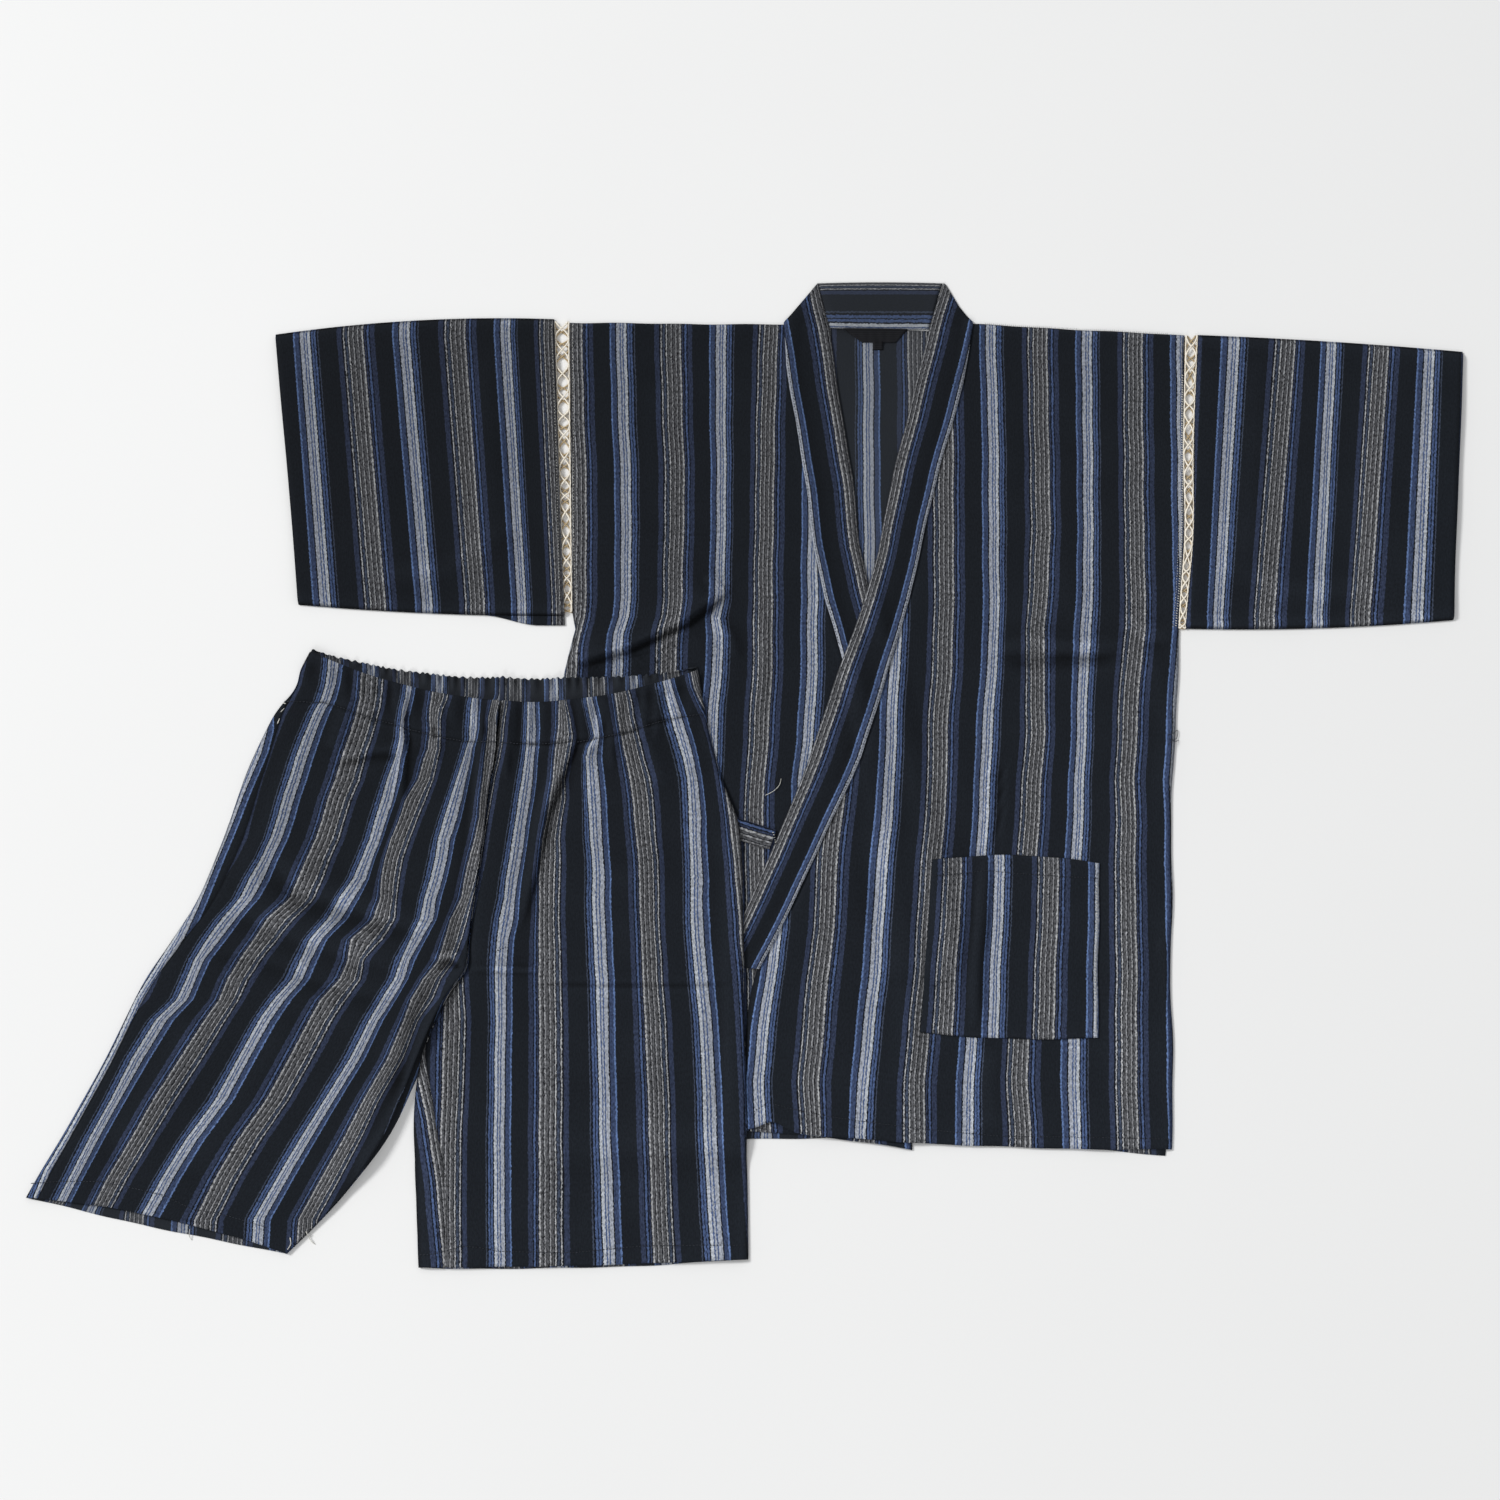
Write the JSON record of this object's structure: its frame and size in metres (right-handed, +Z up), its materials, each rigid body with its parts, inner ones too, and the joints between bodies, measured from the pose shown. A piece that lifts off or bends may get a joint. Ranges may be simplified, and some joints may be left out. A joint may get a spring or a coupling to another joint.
{
  "type": "jinbei jacket and shorts set, laid flat",
  "caption": "Striped crepe cotton jinbei laid out flat: crossed jacket with lace insertions and patch pocket, gathered shorts over its left edge.",
  "frame": {"origin": "floor level, under the middle of the laid-out set's bounding box", "axes": "+X towards the right sleeve's cuff as seen from above, +Y towards the collar, +Z up off the floor"},
  "size_m": [1.4341, 1.004, 0.0145],
  "materials": {
    "striped_cotton": "matt crepe weave",
    "cream_lace": "matt cotton lace",
    "label_tape": "woven tape"
  },
  "bodies": {
    "root": {"back": "striped_cotton", "front_under": "striped_cotton", "front_over": "striped_cotton", "collar_back": "striped_cotton", "collar_under": "striped_cotton", "collar_over": "striped_cotton", "pocket": "striped_cotton", "tie_front": "striped_cotton", "tie_side": "striped_cotton", "sleeve_left": "striped_cotton", "sleeve_right": "striped_cotton", "lace_left_back": "cream_lace", "lace_left_front": "cream_lace", "lace_right_back": "cream_lace", "lace_right_front": "cream_lace", "neck_label": "label_tape", "size_tab": "label_tape", "shorts_back_left": "striped_cotton", "shorts_back_right": "striped_cotton", "shorts_front_left": "striped_cotton", "shorts_front_right": "striped_cotton"}
  },
  "joints": []
}
